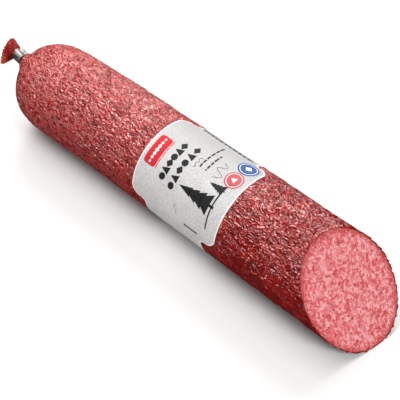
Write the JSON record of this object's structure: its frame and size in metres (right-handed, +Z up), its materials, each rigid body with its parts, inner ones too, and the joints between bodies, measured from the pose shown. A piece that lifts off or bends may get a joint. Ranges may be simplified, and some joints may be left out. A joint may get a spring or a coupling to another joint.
{
  "type": "cured sausage",
  "caption": "Cured salami log in a wrinkled red casing, rounded and clipped at one end, sliced at a slant at the other, with a paper label wrapped round its middle.",
  "frame": {"origin": "middle of the underside of the whole object's box, on the flat it lies on", "axes": "+X along the log, from the clipped end to the sliced end; +Y to the back, away from the label's panel; +Z up"},
  "size_m": [0.322, 0.0614, 0.0596],
  "materials": {
    "cured_meat": "moist, finely minced cured meat, pink with pale fat grains and darker red lean",
    "casing_skin": "thin fibrous casing, deep red, wet gloss, wrinkled all over",
    "clip_metal": "crimped flat wire, dull silver with bright drawn edges",
    "label_paper": "uncoated warm grey printed paper with a thin white border"
  },
  "bodies": {
    "root": {"sausage_meat": "cured_meat", "casing": "casing_skin", "clip": "clip_metal", "label": "label_paper"}
  },
  "joints": []
}
